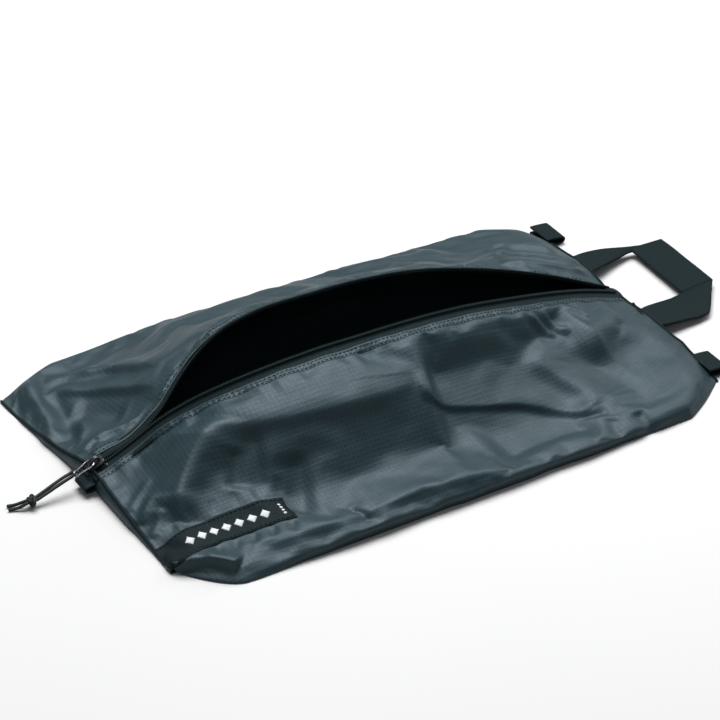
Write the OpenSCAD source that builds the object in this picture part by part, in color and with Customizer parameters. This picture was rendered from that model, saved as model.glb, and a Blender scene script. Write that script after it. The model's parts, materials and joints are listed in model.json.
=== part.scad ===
// Zipped shoe bag lying on its bottom panel with its mouth open, in millimetres.
// +X runs along the bag to the carry handle, -Y is the front, and +Z is up.
// The origin is the centre of the bottom panel, on the surface that the bag lies on.

/* [Bag] */
// Length between the end seams
bag_l = 376; // [360:1:400]
// Width between the lower front and back edges
bag_w = 244; // [230:1:260]
// Length of a cut corner along X
corner_l = 36; // [24:1:44]
// Length of a cut corner along Y
corner_w = 24; // [16:1:30]
// How far the end seams are drawn in at the zip
end_pinch = 8; // [4:1:10]
// Thickness of the cloth solids
cloth = 1; // [0.8:0.1:1.2]
// Extra height of the puffed panels
puff = 7; // [3:1:9]

/* [Zip] */
// Half of the distance between the ends of the zip
zip_half = 186; // [180:1:188]
// Height of the ends of the zip
zip_z = 8; // [7:0.5:9]
// Height of the middle of the closed zip above its ends
zip_rise = 56; // [50:1:60]
// Outward lean of the open front side of the mouth, in degrees
front_lean = 25; // [22:1:28]
// Outward lean of the open back side of the mouth, in degrees
back_lean = 35; // [32:1:38]
// Width of one tape, from the chain's middle to its sewn edge
tape_w = 9.5; // [8.5:0.5:10]
// Length of the fixed tape at the slider's end
start_l = 30; // [28:1:34]
// Length of the fixed tape at the handle's end
stop_l = 20; // [18:1:24]

/* [Slider] */
// Length of the slider
slider_l = 10; // [9:0.5:11]
// Width of the slider
slider_w = 8.6; // [8:0.2:9]
// Diameter of the pull wire
wire_d = 1.3; // [1.1:0.1:1.4]
// Length of the pull wire, from its pivot to its end bar
wire_l = 12.7; // [12:0.1:13]
// Diameter of the pull cord
cord_d = 2; // [1.8:0.1:2.2]

/* [Webbing] */
// Width of the webbing
web_w = 25; // [24:1:26]
// Width of the corner loops
loop_w = 20; // [18:1:22]
// Thickness of the webbing
web_t = 1.5; // [1.2:0.1:1.8]
// Distance between the middles of the handle's arms
handle_w = 70; // [66:1:76]
// Where the middle of the handle is along Y
handle_y = 10.5; // [8:0.5:12]
// Distance of the handle's outer edge from the middle of the bag
handle_x = 249; // [240:1:256]
// Distance that the corner loops stand out
tab_l = 11; // [9:1:13]
// Width of the fabric tab at the slider's end
end_tab_w = 15; // [12:1:16]

/* [Hidden] */
half_l = bag_l / 2;
half_w = bag_w / 2;
floor_gap = 0.3;
clear = 0.5;
arc_r = (zip_half * zip_half + zip_rise * zip_rise) / (2 * zip_rise);
arc_z = zip_z + zip_rise - arc_r;
arc_end = asin(zip_half / arc_r);
deg_per_mm = 180 / (PI * arc_r);
move_from = -arc_end + start_l * deg_per_mm;
move_to = arc_end - stop_l * deg_per_mm;
gap_deg = clear * deg_per_mm;
rest_deg = -arc_end + 8 * deg_per_mm;
rim_gap = tape_w + clear;
tape_t = 0.8;
coil_in = 0.9;
coil_out = 2.6;
coil_t = 2.2;
slot_half = 1.5;
plate_t = 1.2;
bridge_z = 4.3;
bind_r = 1.2;
bind_off = 2.2;
panel_u = 40;
panel_v = 12;
pull_deg = 25;
pivot_r = arc_r + bridge_z;
pivot = [pivot_r * sin(rest_deg), 0, arc_z + pivot_r * cos(rest_deg)];
end_x = half_l - end_pinch;
cut_top = 1;
// Length, width and height above the floor of the bars of thread at the handle's ends
bar_l = 18;
bar_w = 1.6;
bar_z = 10.8;
handle_pivot_x = half_l + 3;
handle_z = 3.2;
// Heights of the corner loops and where their middles are along Y
tab_z = 4.2;
tab_front_y = -84;
tab_back_y = 94;
// The two strands of the pull cord, from the wire's end bar through the knot to their cut ends
cord_front = [
    [-193.9, -1.4, 12.4], [-195.2, -1.5, 11.7], [-198, -1.7, 10.9], [-201, -1.9, 10.1], [-204, -2.1, 9.2],
    [-207, -2.4, 8.4], [-210, -2.7, 7.5], [-213, -2.9, 6.6], [-216, -3.1, 5.7], [-217.8, -3.2, 5.1]
];
cord_back = [
    [-193.9, 1.4, 12.4], [-195.2, 1.4, 11.8], [-198, 1.3, 11.1], [-201, 1, 10.4], [-204, 0.7, 9.5],
    [-207, 0.4, 8.6], [-210, 0.1, 7.6], [-213, -0.3, 6.7], [-216, -0.6, 5.8], [-217.8, -0.8, 5.2]
];
tail_front = [[-225.5, -2.8, 4.2], [-227.6, -2.2, 3.1], [-229.8, -1.2, 2], [-232, -0.2, 1.4], [-234.4, 0.6, 1.2]];
tail_back = [[-225.3, -0.4, 4.3], [-227.3, 0.9, 3.2], [-229.3, 2.2, 2.1], [-231.4, 3.4, 1.4], [-233.6, 4.4, 1.2]];
knot_at = [-221.6, -2.2, 4.5];
knot_d = 7;

// Half of the bag's width at x, v up the panel: its lower corners are cut off, and the cut fades upwards
function edge_y(x, v = 0) =
    half_w - corner_w * max(0, abs(x) - half_l + corner_l) / corner_l * max(0, 1 - v / cut_top);

// Height of the closed chain above the line between its ends
function arch(x) = sqrt(arc_r * arc_r - x * x) - arc_r + zip_rise;

// A point of the front panel: u is -1 to 1 along the bag, v is 0 at the lower edge and 1 at the zip
function panel_at(u, v, lean) =
    let (x = u * (half_l - end_pinch * pow(v, 1.5)), rise = arch(x))
    let (rim_y = rise * sin(lean) + rim_gap * cos(lean))
    let (rim_z = zip_z + rise * cos(lean) - rim_gap * sin(lean))
    let (in = pow(v, 1.8), up = pow(sin(90 * v), 0.9))
    let (swell = puff * (1 - pow(u, 4)) * sin(180 * v))
    [x, -edge_y(u * half_l, v) * (1 - in) - rim_y * in, floor_gap + (rim_z - floor_gap) * up + swell];

// The panel's outward direction at (u, v), from points a small step away on both sides
function panel_out(u, v, lean) =
    let (step = 0.004, lo = max(0, v - step), hi = min(1, v + step))
    let (across = panel_at(u + step, v, lean) - panel_at(u - step, v, lean))
    let (along = panel_at(u, hi, lean) - panel_at(u, lo, lean))
    let (out = cross(across, along))
    out / norm(out);

// One row of points over the panel, lifted outwards
function panel_row(v, u0, u1, nu, lean, lift) = [
    for (i = [0:nu])
        let (u = u0 + (u1 - u0) * i / nu)
        panel_at(u, v, lean) + lift * panel_out(min(0.99, max(-0.99, u)), v, lean)
];

// The triangles of a rectangle of (nu + 1) by (nv + 1) points, of its underside and of its edges
function quad(a, b, c, d) = [[a, b, c], [a, c, d]];
function flat(lists) = [for (l = lists) for (t = l) t];
function skin_faces(nu, nv) =
    let (row = nu + 1, under = row * (nv + 1))
    concat(
        flat([for (j = [0:nv - 1]) for (i = [0:nu - 1])
            let (a = j * row + i)
            quad(a, a + row, a + row + 1, a + 1)]),
        flat([for (j = [0:nv - 1]) for (i = [0:nu - 1])
            let (a = under + j * row + i)
            quad(a, a + 1, a + row + 1, a + row)]),
        flat([for (i = [0:nu - 1]) quad(i, i + 1, under + i + 1, under + i)]),
        flat([for (i = [0:nu - 1])
            let (a = nv * row + i)
            quad(a + 1, a, under + a, under + a + 1)]),
        flat([for (j = [0:nv - 1])
            let (a = j * row)
            quad(a + row, a, under + a, under + a + row)]),
        flat([for (j = [0:nv - 1])
            let (a = j * row + nu)
            quad(a, a + row, under + a + row, under + a)])
    );

// A sheet over part of a panel, from one lift to another
module panel_skin(u0, u1, v0, v1, nu, nv, lean, low, high) {
    rows = [for (j = [0:nv]) v0 + (v1 - v0) * j / nv];
    outer = flat([for (v = rows) panel_row(v, u0, u1, nu, lean, high)]);
    inner = flat([for (v = rows) panel_row(v, u0, u1, nu, lean, low)]);
    polyhedron(concat(outer, inner), skin_faces(nu, nv), convexity = 6);
}

// The direction of a route at its point i
function route_dir(route, i) =
    let (d = route[min(len(route) - 1, i + 1)] - route[max(0, i - 1)])
    d / norm(d);

// One ring of a tube around point i of a route
function ring(route, i, r, sides) =
    let (d = route_dir(route, i), side = cross([0, 0, 1], d))
    let (a = side / norm(side), b = cross(d, a))
    [for (k = [0:sides - 1]) route[i] + r * (a * cos(360 * k / sides) + b * sin(360 * k / sides))];

// A solid tube of straight sides along a route
module tube(route, r, sides) {
    last = len(route) - 1;
    points = flat([for (i = [0:last]) ring(route, i, r, sides)]);
    walls = flat([for (i = [0:last - 1]) for (k = [0:sides - 1])
        let (a = i * sides + k, b = i * sides + (k + 1) % sides)
        quad(a, a + sides, b + sides, b)]);
    first_cap = [[for (k = [0:sides - 1]) k]];
    last_cap = [[for (k = [sides - 1:-1:0]) last * sides + k]];
    polyhedron(points, concat(walls, first_cap, last_cap), convexity = 8);
}

// A band bent along the closed chain, between two angles; its width is along Y and its depth is radial
module band(from, to, y0, y1, r0, r1) {
    translate([0, 0, arc_z])
        rotate([90, 0, 0])
            rotate([0, 0, 90 - to])
                rotate_extrude(angle = to - from, $fn = 180)
                    translate([r0, -y1])
                        square([r1 - r0, y1 - y0]);
}

// Leans the front (-1) or back (1) side of the mouth outwards about the line between the zip's ends
module leaning(side) {
    translate([0, 0, zip_z])
        rotate([side < 0 ? front_lean : -back_lean, 0, 0])
            translate([0, 0, -zip_z])
                children();
}

// One side of a band, from y_in to y_out off the chain's middle
module side_band(side, from, to, y_in, y_out, low, high) {
    y0 = side < 0 ? -y_out : y_in;
    y1 = side < 0 ? -y_in : y_out;
    band(from, to, y0, y1, arc_r + low, arc_r + high);
}

module moving_tape(side) {
    leaning(side)
        side_band(side, move_from, move_to, coil_out, tape_w, -tape_t / 2, tape_t / 2);
}

module moving_coil(side) {
    leaning(side)
        side_band(side, move_from, move_to, coil_in, coil_out, -coil_t / 2, coil_t / 2);
}

module moving_stitching(side) {
    leaning(side)
        side_band(side, move_from, move_to, tape_w - 1.6, tape_w - 1, tape_t / 2, tape_t / 2 + 0.4);
}

module fixed_tape(from, to) {
    for (side = [-1, 1])
        side_band(side, from, to, coil_in, tape_w, -tape_t / 2, tape_t / 2);
}

// Places a solid, drawn at the top of the chain with its length along X, at an angle along the chain
module on_chain(deg) {
    translate([0, 0, arc_z])
        rotate([0, deg, 0])
            translate([0, 0, arc_r])
                children();
}

// A flat loop of webbing whose fold points along +X, with its middle at the origin of Z
module web_loop(width, length, gap) {
    outer = gap / 2 + web_t;
    rotate([90, 0, 0])
        linear_extrude(width, center = true)
            difference() {
                union() {
                    translate([0, -outer])
                        square([length - outer, 2 * outer]);
                    translate([length - outer, 0])
                        circle(outer, $fn = 32);
                }
                translate([-1, -gap / 2])
                    square([length - outer + 1, gap]);
                translate([length - outer, 0])
                    circle(gap / 2, $fn = 32);
            }
}

// The edge that the binding covers: the cut corners and the end seam of one end
function seam_point(v, lean, side) =
    let (p = panel_at(1, v, lean))
    [p[0] + bind_off, side * abs(p[1]), max(bind_r + floor_gap, p[2] - 0.4)];
function corner_point(t, side) =
    let (cut = norm([corner_l, corner_w]), x = half_l - corner_l * (1 - t))
    [x + bind_off * corner_w / cut, side * (edge_y(x) + bind_off * corner_l / cut), bind_r + floor_gap];
binding_route = concat(
    [for (t = [0.04:0.16:1]) corner_point(t, -1)],
    [for (v = [0.12:0.11:1]) seam_point(v, front_lean, -1)],
    [for (v = [1:-0.11:0.1]) seam_point(v, back_lean, 1)],
    [for (t = [1:-0.16:0.03]) corner_point(t, 1)]
);

module bottom_panel() {
    inset = 6;
    x = half_l - inset;
    y = half_w - inset;
    color("#2f3940")
        linear_extrude(cloth)
            polygon([
                [-x, -y + corner_w], [-x + corner_l, -y], [x - corner_l, -y], [x, -y + corner_w],
                [x, y - corner_w], [x - corner_l, y], [-x + corner_l, y], [-x, y - corner_w]
            ]);
}

module front_panel() {
    color("#3f4c54")
        panel_skin(-1, 1, 0, 1, panel_u, panel_v, front_lean, -cloth, 0);
}

module back_panel() {
    color("#37434b")
        mirror([0, 1, 0])
            panel_skin(-1, 1, 0, 1, panel_u, panel_v, back_lean, -cloth, 0);
}

module end_binding_right() {
    color("#14181b")
        tube(binding_route, bind_r, 8);
}

module end_binding_left() {
    color("#14181b")
        mirror([1, 0, 0])
            tube(binding_route, bind_r, 8);
}

module zip_tape_front() {
    color("#1b1f22")
        moving_tape(-1);
}

module zip_tape_back() {
    color("#1b1f22")
        moving_tape(1);
}

module zip_coil_front() {
    color("#0c0e10")
        moving_coil(-1);
}

module zip_coil_back() {
    color("#0c0e10")
        moving_coil(1);
}

module zip_stitching_front() {
    color("#2a3035")
        moving_stitching(-1);
}

module zip_stitching_back() {
    color("#2a3035")
        moving_stitching(1);
}

module zip_tape_start() {
    color("#1b1f22")
        fixed_tape(-arc_end + gap_deg, move_from - 2 * gap_deg);
}

module zip_tape_end() {
    color("#1b1f22")
        fixed_tape(move_to + 2 * gap_deg, arc_end - 6 * deg_per_mm);
}

// The stitched block that ends the chain under the slider's tail
module bottom_stop() {
    color("#1b1f22")
        band(-arc_end + gap_deg, -arc_end + 1.6 * deg_per_mm, -2.6, 2.6, arc_r + 0.5, arc_r + 1.6);
}

// A moulded block on each tape, which the slider runs up to
module top_stops() {
    color("#0c0e10")
        for (side = [-1, 1])
            side_band(side, arc_end - 13 * deg_per_mm, arc_end - 10 * deg_per_mm, 1.2, 3.4, 0.5, 1.6);
}

module zip_end_tab() {
    color("#14181b")
        translate([-end_x - 3, -3.5, 3.2])
            mirror([1, 0, 0])
                web_loop(end_tab_w, tab_l, 0.6);
}

module slider_body() {
    nose = slider_w * 0.62;
    color("#2b2c2f")
        on_chain(rest_deg) {
            for (z = [slot_half, -slot_half - plate_t])
                translate([0, 0, z])
                    linear_extrude(plate_t)
                        polygon([
                            [-slider_l / 2, -nose / 2], [slider_l / 2 - 3, -slider_w / 2],
                            [slider_l / 2, -slider_w / 2], [slider_l / 2, slider_w / 2],
                            [slider_l / 2 - 3, slider_w / 2], [-slider_l / 2, nose / 2]
                        ]);
            translate([slider_l / 2 - 2.4, -0.4, -slot_half - 0.1])
                cube([2.2, 0.8, 2 * slot_half + 0.2]);
            slider_bridge();
        }
}

// The bridge on the slider's top plate that the pull wire turns under
module slider_bridge() {
    span = 6;
    low = slot_half + plate_t;
    rotate([90, 0, 0])
        linear_extrude(2.2, center = true)
            difference() {
                translate([-span / 2, low - 0.1])
                    square([span, 3.4]);
                translate([-span / 2 + 1.1, low - 0.2])
                    square([span - 2.2, 2.5]);
            }
}

// A closed loop of wire: its pivot bar, two legs and the end bar that the cord is hitched on
module slider_pull() {
    leg_y = 2.6;
    color("#4a4c50")
        translate(pivot)
            rotate([0, -pull_deg, 0]) {
                for (x = [0, -wire_l])
                    translate([x, 0, 0])
                        rotate([90, 0, 0])
                            cylinder(d = wire_d, h = 2 * leg_y, center = true, $fn = 24);
                for (y = [-leg_y, leg_y])
                    translate([0, y, 0]) {
                        rotate([0, -90, 0])
                            cylinder(d = wire_d, h = wire_l, $fn = 24);
                        for (x = [0, -wire_l])
                            translate([x, 0, 0])
                                sphere(d = wire_d, $fn = 24);
                    }
            }
}

module pull_cord_front() {
    color("#101214") {
        tube(cord_front, cord_d / 2, 8);
        tube(tail_front, cord_d / 2, 8);
    }
}

module pull_cord_back() {
    color("#101214") {
        tube(cord_back, cord_d / 2, 8);
        tube(tail_back, cord_d / 2, 8);
    }
}

// The overhand knot, as its rounded outer shape
module cord_knot() {
    color("#101214")
        translate(knot_at)
            sphere(d = knot_d, $fn = 32);
}

// A flat strap: two arms along X, a crosspiece along Y, and outer corners folded at 45 degrees
module carry_handle() {
    arm = handle_w / 2;
    half = web_w / 2;
    near = handle_pivot_x + 0.6;
    turn = handle_x - web_w;
    color("#15181a")
        translate([0, handle_y, handle_z])
            linear_extrude(web_t)
                difference() {
                    polygon([
                        [near, -arm - half], [turn, -arm - half], [handle_x, -arm + half],
                        [handle_x, arm - half], [turn, arm + half], [near, arm + half]
                    ]);
                    translate([near - 1, -arm + half])
                        square([turn - near + 1, 2 * (arm - half)]);
                }
}

// Bars of thread over the end seam, which hold the handle's ends
module handle_bartacks() {
    color("#0c0e10")
        for (side = [-1, 1])
            translate([end_x - 3, handle_y + side * handle_w / 2 - bar_l / 2, bar_z])
                cube([bar_w, bar_l, 0.8]);
}

module corner_loop_front() {
    color("#15181a")
        translate([half_l + bind_off + bind_r, tab_front_y, tab_z])
            web_loop(loop_w, tab_l, 1.6);
}

module corner_loop_back() {
    color("#15181a")
        translate([half_l + bind_off + bind_r, tab_back_y, tab_z])
            web_loop(loop_w, tab_l, 1.6);
}

// Bars of thread across each corner loop
module loop_bartacks() {
    color("#0c0e10")
        for (y = [tab_front_y, tab_back_y])
            translate([half_l + bind_off + bind_r + 2, y - loop_w / 2 + 2, tab_z + 0.8 + web_t + 0.1])
                cube([1.4, loop_w - 4, 0.6]);
}

// The woven label on the lower left of the front panel
module label() {
    color("#101316")
        panel_skin(-0.985, -0.56, 0.3, 0.52, 12, 4, front_lean, 0.4, 1);
}

module label_stitching() {
    color("#3a4248")
        for (v = [0.315, 0.5])
            panel_skin(-0.975, -0.57, v, v + 0.006, 12, 1, front_lean, 1.1, 1.5);
}

bottom_panel();
front_panel();
back_panel();
end_binding_left();
end_binding_right();
zip_tape_front();
zip_tape_back();
zip_coil_front();
zip_coil_back();
zip_stitching_front();
zip_stitching_back();
zip_tape_start();
zip_tape_end();
bottom_stop();
top_stops();
zip_end_tab();
slider_body();
slider_pull();
pull_cord_front();
pull_cord_back();
cord_knot();
carry_handle();
handle_bartacks();
corner_loop_front();
corner_loop_back();
loop_bartacks();
label();
label_stitching();
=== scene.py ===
"""A zipped shoe bag of ripstop nylon, lying open on a table.

Lengths are in millimetres up to the moment a mesh is made. +X runs to the carry handle, -Y is the front.
"""

import json
import math

import bmesh
import bpy
import numpy as np
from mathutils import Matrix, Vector


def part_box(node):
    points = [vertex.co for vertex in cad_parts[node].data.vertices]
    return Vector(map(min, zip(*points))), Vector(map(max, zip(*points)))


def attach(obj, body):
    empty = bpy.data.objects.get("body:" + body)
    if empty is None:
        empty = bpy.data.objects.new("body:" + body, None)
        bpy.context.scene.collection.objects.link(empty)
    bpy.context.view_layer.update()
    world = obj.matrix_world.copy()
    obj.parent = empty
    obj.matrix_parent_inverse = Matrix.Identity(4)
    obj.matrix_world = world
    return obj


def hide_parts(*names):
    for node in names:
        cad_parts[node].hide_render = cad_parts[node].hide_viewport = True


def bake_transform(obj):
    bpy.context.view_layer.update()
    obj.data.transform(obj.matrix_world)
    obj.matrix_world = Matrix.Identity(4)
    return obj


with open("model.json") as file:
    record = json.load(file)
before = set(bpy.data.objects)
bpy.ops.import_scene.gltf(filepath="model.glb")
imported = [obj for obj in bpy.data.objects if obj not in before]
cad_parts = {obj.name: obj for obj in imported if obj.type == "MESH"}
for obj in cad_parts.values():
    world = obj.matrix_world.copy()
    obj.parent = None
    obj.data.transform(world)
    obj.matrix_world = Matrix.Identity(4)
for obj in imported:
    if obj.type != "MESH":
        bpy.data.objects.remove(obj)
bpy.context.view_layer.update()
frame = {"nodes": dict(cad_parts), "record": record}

MM = 0.001
FRONT, BACK = -1, 1
SIDE_NAME = {FRONT: "front", BACK: "back"}
joints = {j["name"]: j for j in frame["record"]["behaviour"]["joints"]}

# ---- Sizes taken from the frame ----
ZIP_Z = joints["mouth_front_close"]["pos_m"][2] / MM
ARC_Z = joints["zip_travel"]["pos_m"][2] / MM
LEAN = {
    FRONT: -joints["mouth_front_close"]["range_deg"][0],
    BACK: joints["mouth_back_close"]["range_deg"][1],
}
PIVOT = np.array(joints["pull_flip"]["pos_m"]) / MM
END_BAR = np.array(joints["cord_swing"]["pos_m"]) / MM

# ---- Driving dimensions of the cloth ----
# How far each lower edge lies from the middle line, and how much it comes in for each millimetre of x
EDGE_Y = {FRONT: 124.0, BACK: 122.0}
EDGE_TAPER = {FRONT: 0.02, BACK: 0.012}
# Length and width of each cut corner, left and right, and the power that rounds it
CORNERS = {FRONT: ((31, 31, 1.6), (36, 24, 1.2)), BACK: ((42, 21, 1.2), (36, 24, 1.2))}
# Where the end seams and the zip end
LEFT_X = {FRONT: -182.5, BACK: -190.0}
RIGHT_X = 187.0
ZIP_LEFT, ZIP_RIGHT = -182.0, 179.0
# The tape's width, the part of it that the hem leaves bare, the hem's width and the cloth's thickness
TAPE_W = 10.0
TAPE_SHOWN = 7.2
HEM = 4.6
CLOTH = 0.35

# The height of the zip's two sides above the line between its ends, at places along X
RIM_X = [-186, -171, -155, -135, -112, -86, -56, -20, 20, 55, 85, 110, 140, 165, 186]
RIM_H = {
    FRONT: [1.5, 6.5, 14, 28, 43, 54.5, 60, 60, 58.5, 54, 46.5, 38.5, 26.5, 14.5, 4],
    BACK: [1.5, 7, 11.5, 22, 39, 53, 59.5, 60, 58.5, 54, 46.5, 38.5, 26.5, 14.5, 4],
}

# Each side of the mouth turns in fully above the end of these lines, and not at all below their start
BLEND_DIR = np.array([0.0015, 0.008, 0.022])
BLEND_END = {FRONT: np.array([-30.0, -24.0, 62.0]), BACK: np.array([-30.0, 33.0, 56.0])}


def blend_line(side):
    """The start and end of the line along which one side's cloth goes from the bag to the zip."""
    slope = BLEND_DIR * [1, -side, 1]
    return BLEND_END[side] - slope / (slope @ slope), BLEND_END[side]


def closing_share(points, side):
    """How far each point follows the zip when it closes, from 0 to 1."""
    start, end = blend_line(side)
    d = end - start
    t = np.clip((points - start) @ d / (d @ d), 0, 1)
    return t * t * (3 - 2 * t)


# ---- Curves, noise and grids ----
def smooth_curve(xs, ys, x):
    """A smooth line through given points, with the slope at each taken from its neighbours."""
    xs, ys = np.array(xs, float), np.array(ys, float)
    slope = np.gradient(ys, xs)
    i = np.clip(np.searchsorted(xs, x) - 1, 0, len(xs) - 2)
    h = xs[i + 1] - xs[i]
    t = np.clip((x - xs[i]) / h, 0, 1)
    return (
        ys[i] * (2 * t**3 - 3 * t**2 + 1)
        + slope[i] * h * (t**3 - 2 * t**2 + t)
        + ys[i + 1] * (3 * t**2 - 2 * t**3)
        + slope[i + 1] * h * (t**3 - t**2)
    )


def smooth_path(points, count):
    """A smooth route through given points, with count points about equally far apart."""
    points = np.array(points, float)
    at = run_along(points)
    fine = np.linspace(0, at[-1], count * 8)
    route = np.stack([smooth_curve(at, points[:, k], fine) for k in range(points.shape[1])], axis=1)
    run = run_along(route)
    even = np.linspace(0, run[-1], count)
    return np.stack([np.interp(even, run, route[:, k]) for k in range(points.shape[1])], axis=1)


def run_along(path):
    """How far along a path each of its points is."""
    return np.concatenate([[0], np.cumsum(np.linalg.norm(np.diff(path, axis=0), axis=1))])


def step(x, low, high):
    """A smooth step from 0 at low to 1 at high."""
    t = np.clip((x - low) / (high - low), 0, 1)
    return t * t * (3 - 2 * t)


def noise(x, y, seed, size_x, size_y):
    """Smooth noise from -1 to 1 with bumps of about size_x by size_y."""
    n = 64
    lattice = np.random.default_rng(seed).uniform(-1, 1, (n, n))
    gx, gy = x / size_x + 1000, y / size_y + 1000
    ix, iy = np.floor(gx).astype(int), np.floor(gy).astype(int)
    tx, ty = gx - ix, gy - iy
    tx, ty = tx * tx * (3 - 2 * tx), ty * ty * (3 - 2 * ty)
    a, b = lattice[ix % n, iy % n], lattice[(ix + 1) % n, iy % n]
    c, d = lattice[ix % n, (iy + 1) % n], lattice[(ix + 1) % n, (iy + 1) % n]
    return (a * (1 - tx) + b * tx) * (1 - ty) + (c * (1 - tx) + d * tx) * ty


def grid_normals(points):
    """The unit normal at each point of a grid."""
    along = np.gradient(points, axis=1)
    up = np.gradient(points, axis=0)
    n = np.cross(along, up)
    return n / np.maximum(np.linalg.norm(n, axis=2, keepdims=True), 1e-9)


def sample(grid, u, v):
    """Values of a grid of (rows, columns) at shares u along and v up it."""
    rows, columns = grid.shape[0] - 1, grid.shape[1] - 1
    gx, gy = np.clip(u, 0, 1) * columns, np.clip(v, 0, 1) * rows
    ix, iy = np.minimum(gx.astype(int), columns - 1), np.minimum(gy.astype(int), rows - 1)
    tx, ty = (gx - ix)[..., None], (gy - iy)[..., None]
    low = grid[iy, ix] * (1 - tx) + grid[iy, ix + 1] * tx
    high = grid[iy + 1, ix] * (1 - tx) + grid[iy + 1, ix + 1] * tx
    return low * (1 - ty) + high * ty


# ---- Mesh makers ----
def new_object(name, points, faces, uvs=None, material=None, smooth=True):
    """A mesh object from points in millimetres; uvs hold one pair for each point, in millimetres too."""
    mesh = bpy.data.meshes.new(name)
    mesh.from_pydata((np.asarray(points, float) * MM).tolist(), [], [list(f) for f in faces])
    if uvs is not None and len(uvs):
        layer = mesh.uv_layers.new(name="UVMap")
        index = np.empty(len(mesh.loops), np.int32)
        mesh.loops.foreach_get("vertex_index", index)
        layer.data.foreach_set("uv", (np.asarray(uvs, float)[index] * MM).ravel())
    mesh.polygons.foreach_set("use_smooth", [smooth] * len(mesh.polygons))
    mesh.update()
    obj = bpy.data.objects.new(name, mesh)
    bpy.context.collection.objects.link(obj)
    if material:
        mesh.materials.append(material)
    return obj


def grid_faces(rows, columns, wrap=False, first=0):
    """The quads of a grid, whose last column joins the first if it wraps."""
    faces = []
    for j in range(rows - 1):
        for i in range(columns if wrap else columns - 1):
            k = (i + 1) % columns
            faces.append((first + j * columns + i, first + j * columns + k,
                          first + (j + 1) * columns + k, first + (j + 1) * columns + i))
    return faces


def finish_mesh(obj, *modifiers):
    """Applies modifiers, given as (type, {setting: value}), in order."""
    for kind, settings in modifiers:
        modifier = obj.modifiers.new(kind.lower(), kind)
        for key, value in settings.items():
            setattr(modifier, key, value)
    bpy.context.view_layer.update()
    done = bpy.data.meshes.new_from_object(obj.evaluated_get(bpy.context.evaluated_depsgraph_get()))
    obj.modifiers.clear()
    obj.data = done
    return obj


def sheet_object(name, points, uvs, material, thickness):
    """A thin sheet over a grid of points."""
    rows, columns = points.shape[:2]
    obj = new_object(name, points.reshape(-1, 3), grid_faces(rows, columns), uvs.reshape(-1, 2), material)
    solid = {"thickness": thickness * MM, "offset": -1, "use_even_offset": False}
    return finish_mesh(obj, ("SOLIDIFY", solid))


def joined(parts):
    """Several meshes, each given as points, faces and UVs, as one."""
    points, faces, uvs = [], [], []
    for more_points, more_faces, more_uvs in parts:
        faces += [tuple(i + len(points) for i in face) for face in more_faces]
        points += more_points
        uvs += more_uvs
    return points, faces, uvs


def stand_in(piece, node, body):
    """Puts a finished piece in a CAD node's place, riding on a body or following one side of the zip."""
    if body in (FRONT, BACK):
        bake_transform(piece)
    else:
        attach(piece, body)
    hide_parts(node)


def path_frames(path, up=(0, 0, 1), closed=False):
    """The direction along a path at each of its points, and two directions across it."""
    if closed:
        along = np.roll(path, -1, axis=0) - np.roll(path, 1, axis=0)
    else:
        along = np.gradient(path, axis=0)
    along /= np.linalg.norm(along, axis=1, keepdims=True)
    across = np.cross(np.array(up, float), along[0])
    frames = []
    for d in along:
        across = across - d * (across @ d)
        across /= np.linalg.norm(across)
        frames.append(across)
    side = np.array(frames)
    return along, side, np.cross(along, side)


def tube_mesh(path, radius, sides=10, closed=False, up=(0, 0, 1)):
    """Points, faces and UVs of a round tube along a path, with domed ends where it isn't closed."""
    path = np.array(path, float)
    along, side, out = path_frames(path, up, closed)
    radius = np.broadcast_to(np.asarray(radius, float), (len(path),)).copy()
    run = run_along(path)
    rings = []
    if not closed:
        for share, back in ((0.35, 0.85), (0.8, 0.5)):
            rings.append((0, share, -back))
    rings += [(i, 1, 0) for i in range(len(path))]
    if not closed:
        last = len(path) - 1
        for share, forth in ((0.8, 0.5), (0.35, 0.85)):
            rings.append((last, share, forth))
    angles = np.linspace(0, 2 * math.pi, sides + 1)[:-1]
    points, uvs = [], []
    for i, share, push in rings:
        centre = path[i] + along[i] * push * radius[i]
        for a in angles:
            points.append(centre + radius[i] * share * (side[i] * math.cos(a) + out[i] * math.sin(a)))
            uvs.append((run[i] + push * radius[i], a * radius[i]))
    faces = grid_faces(len(rings), sides, wrap=True)
    if closed:
        end = (len(rings) - 1) * sides
        faces += [(end + i, end + (i + 1) % sides, (i + 1) % sides, i) for i in range(sides)]
    else:
        faces.append(tuple(range(sides))[::-1])
        faces.append(tuple((len(rings) - 1) * sides + i for i in range(sides)))
    return points, faces, uvs


def tube_object(name, paths, radius, material, sides=10, closed=False, up=(0, 0, 1)):
    """One object of a tube along each path."""
    points, faces, uvs = joined(tube_mesh(path, radius, sides, closed, up) for path in paths)
    return new_object(name, points, faces, uvs, material)


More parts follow.
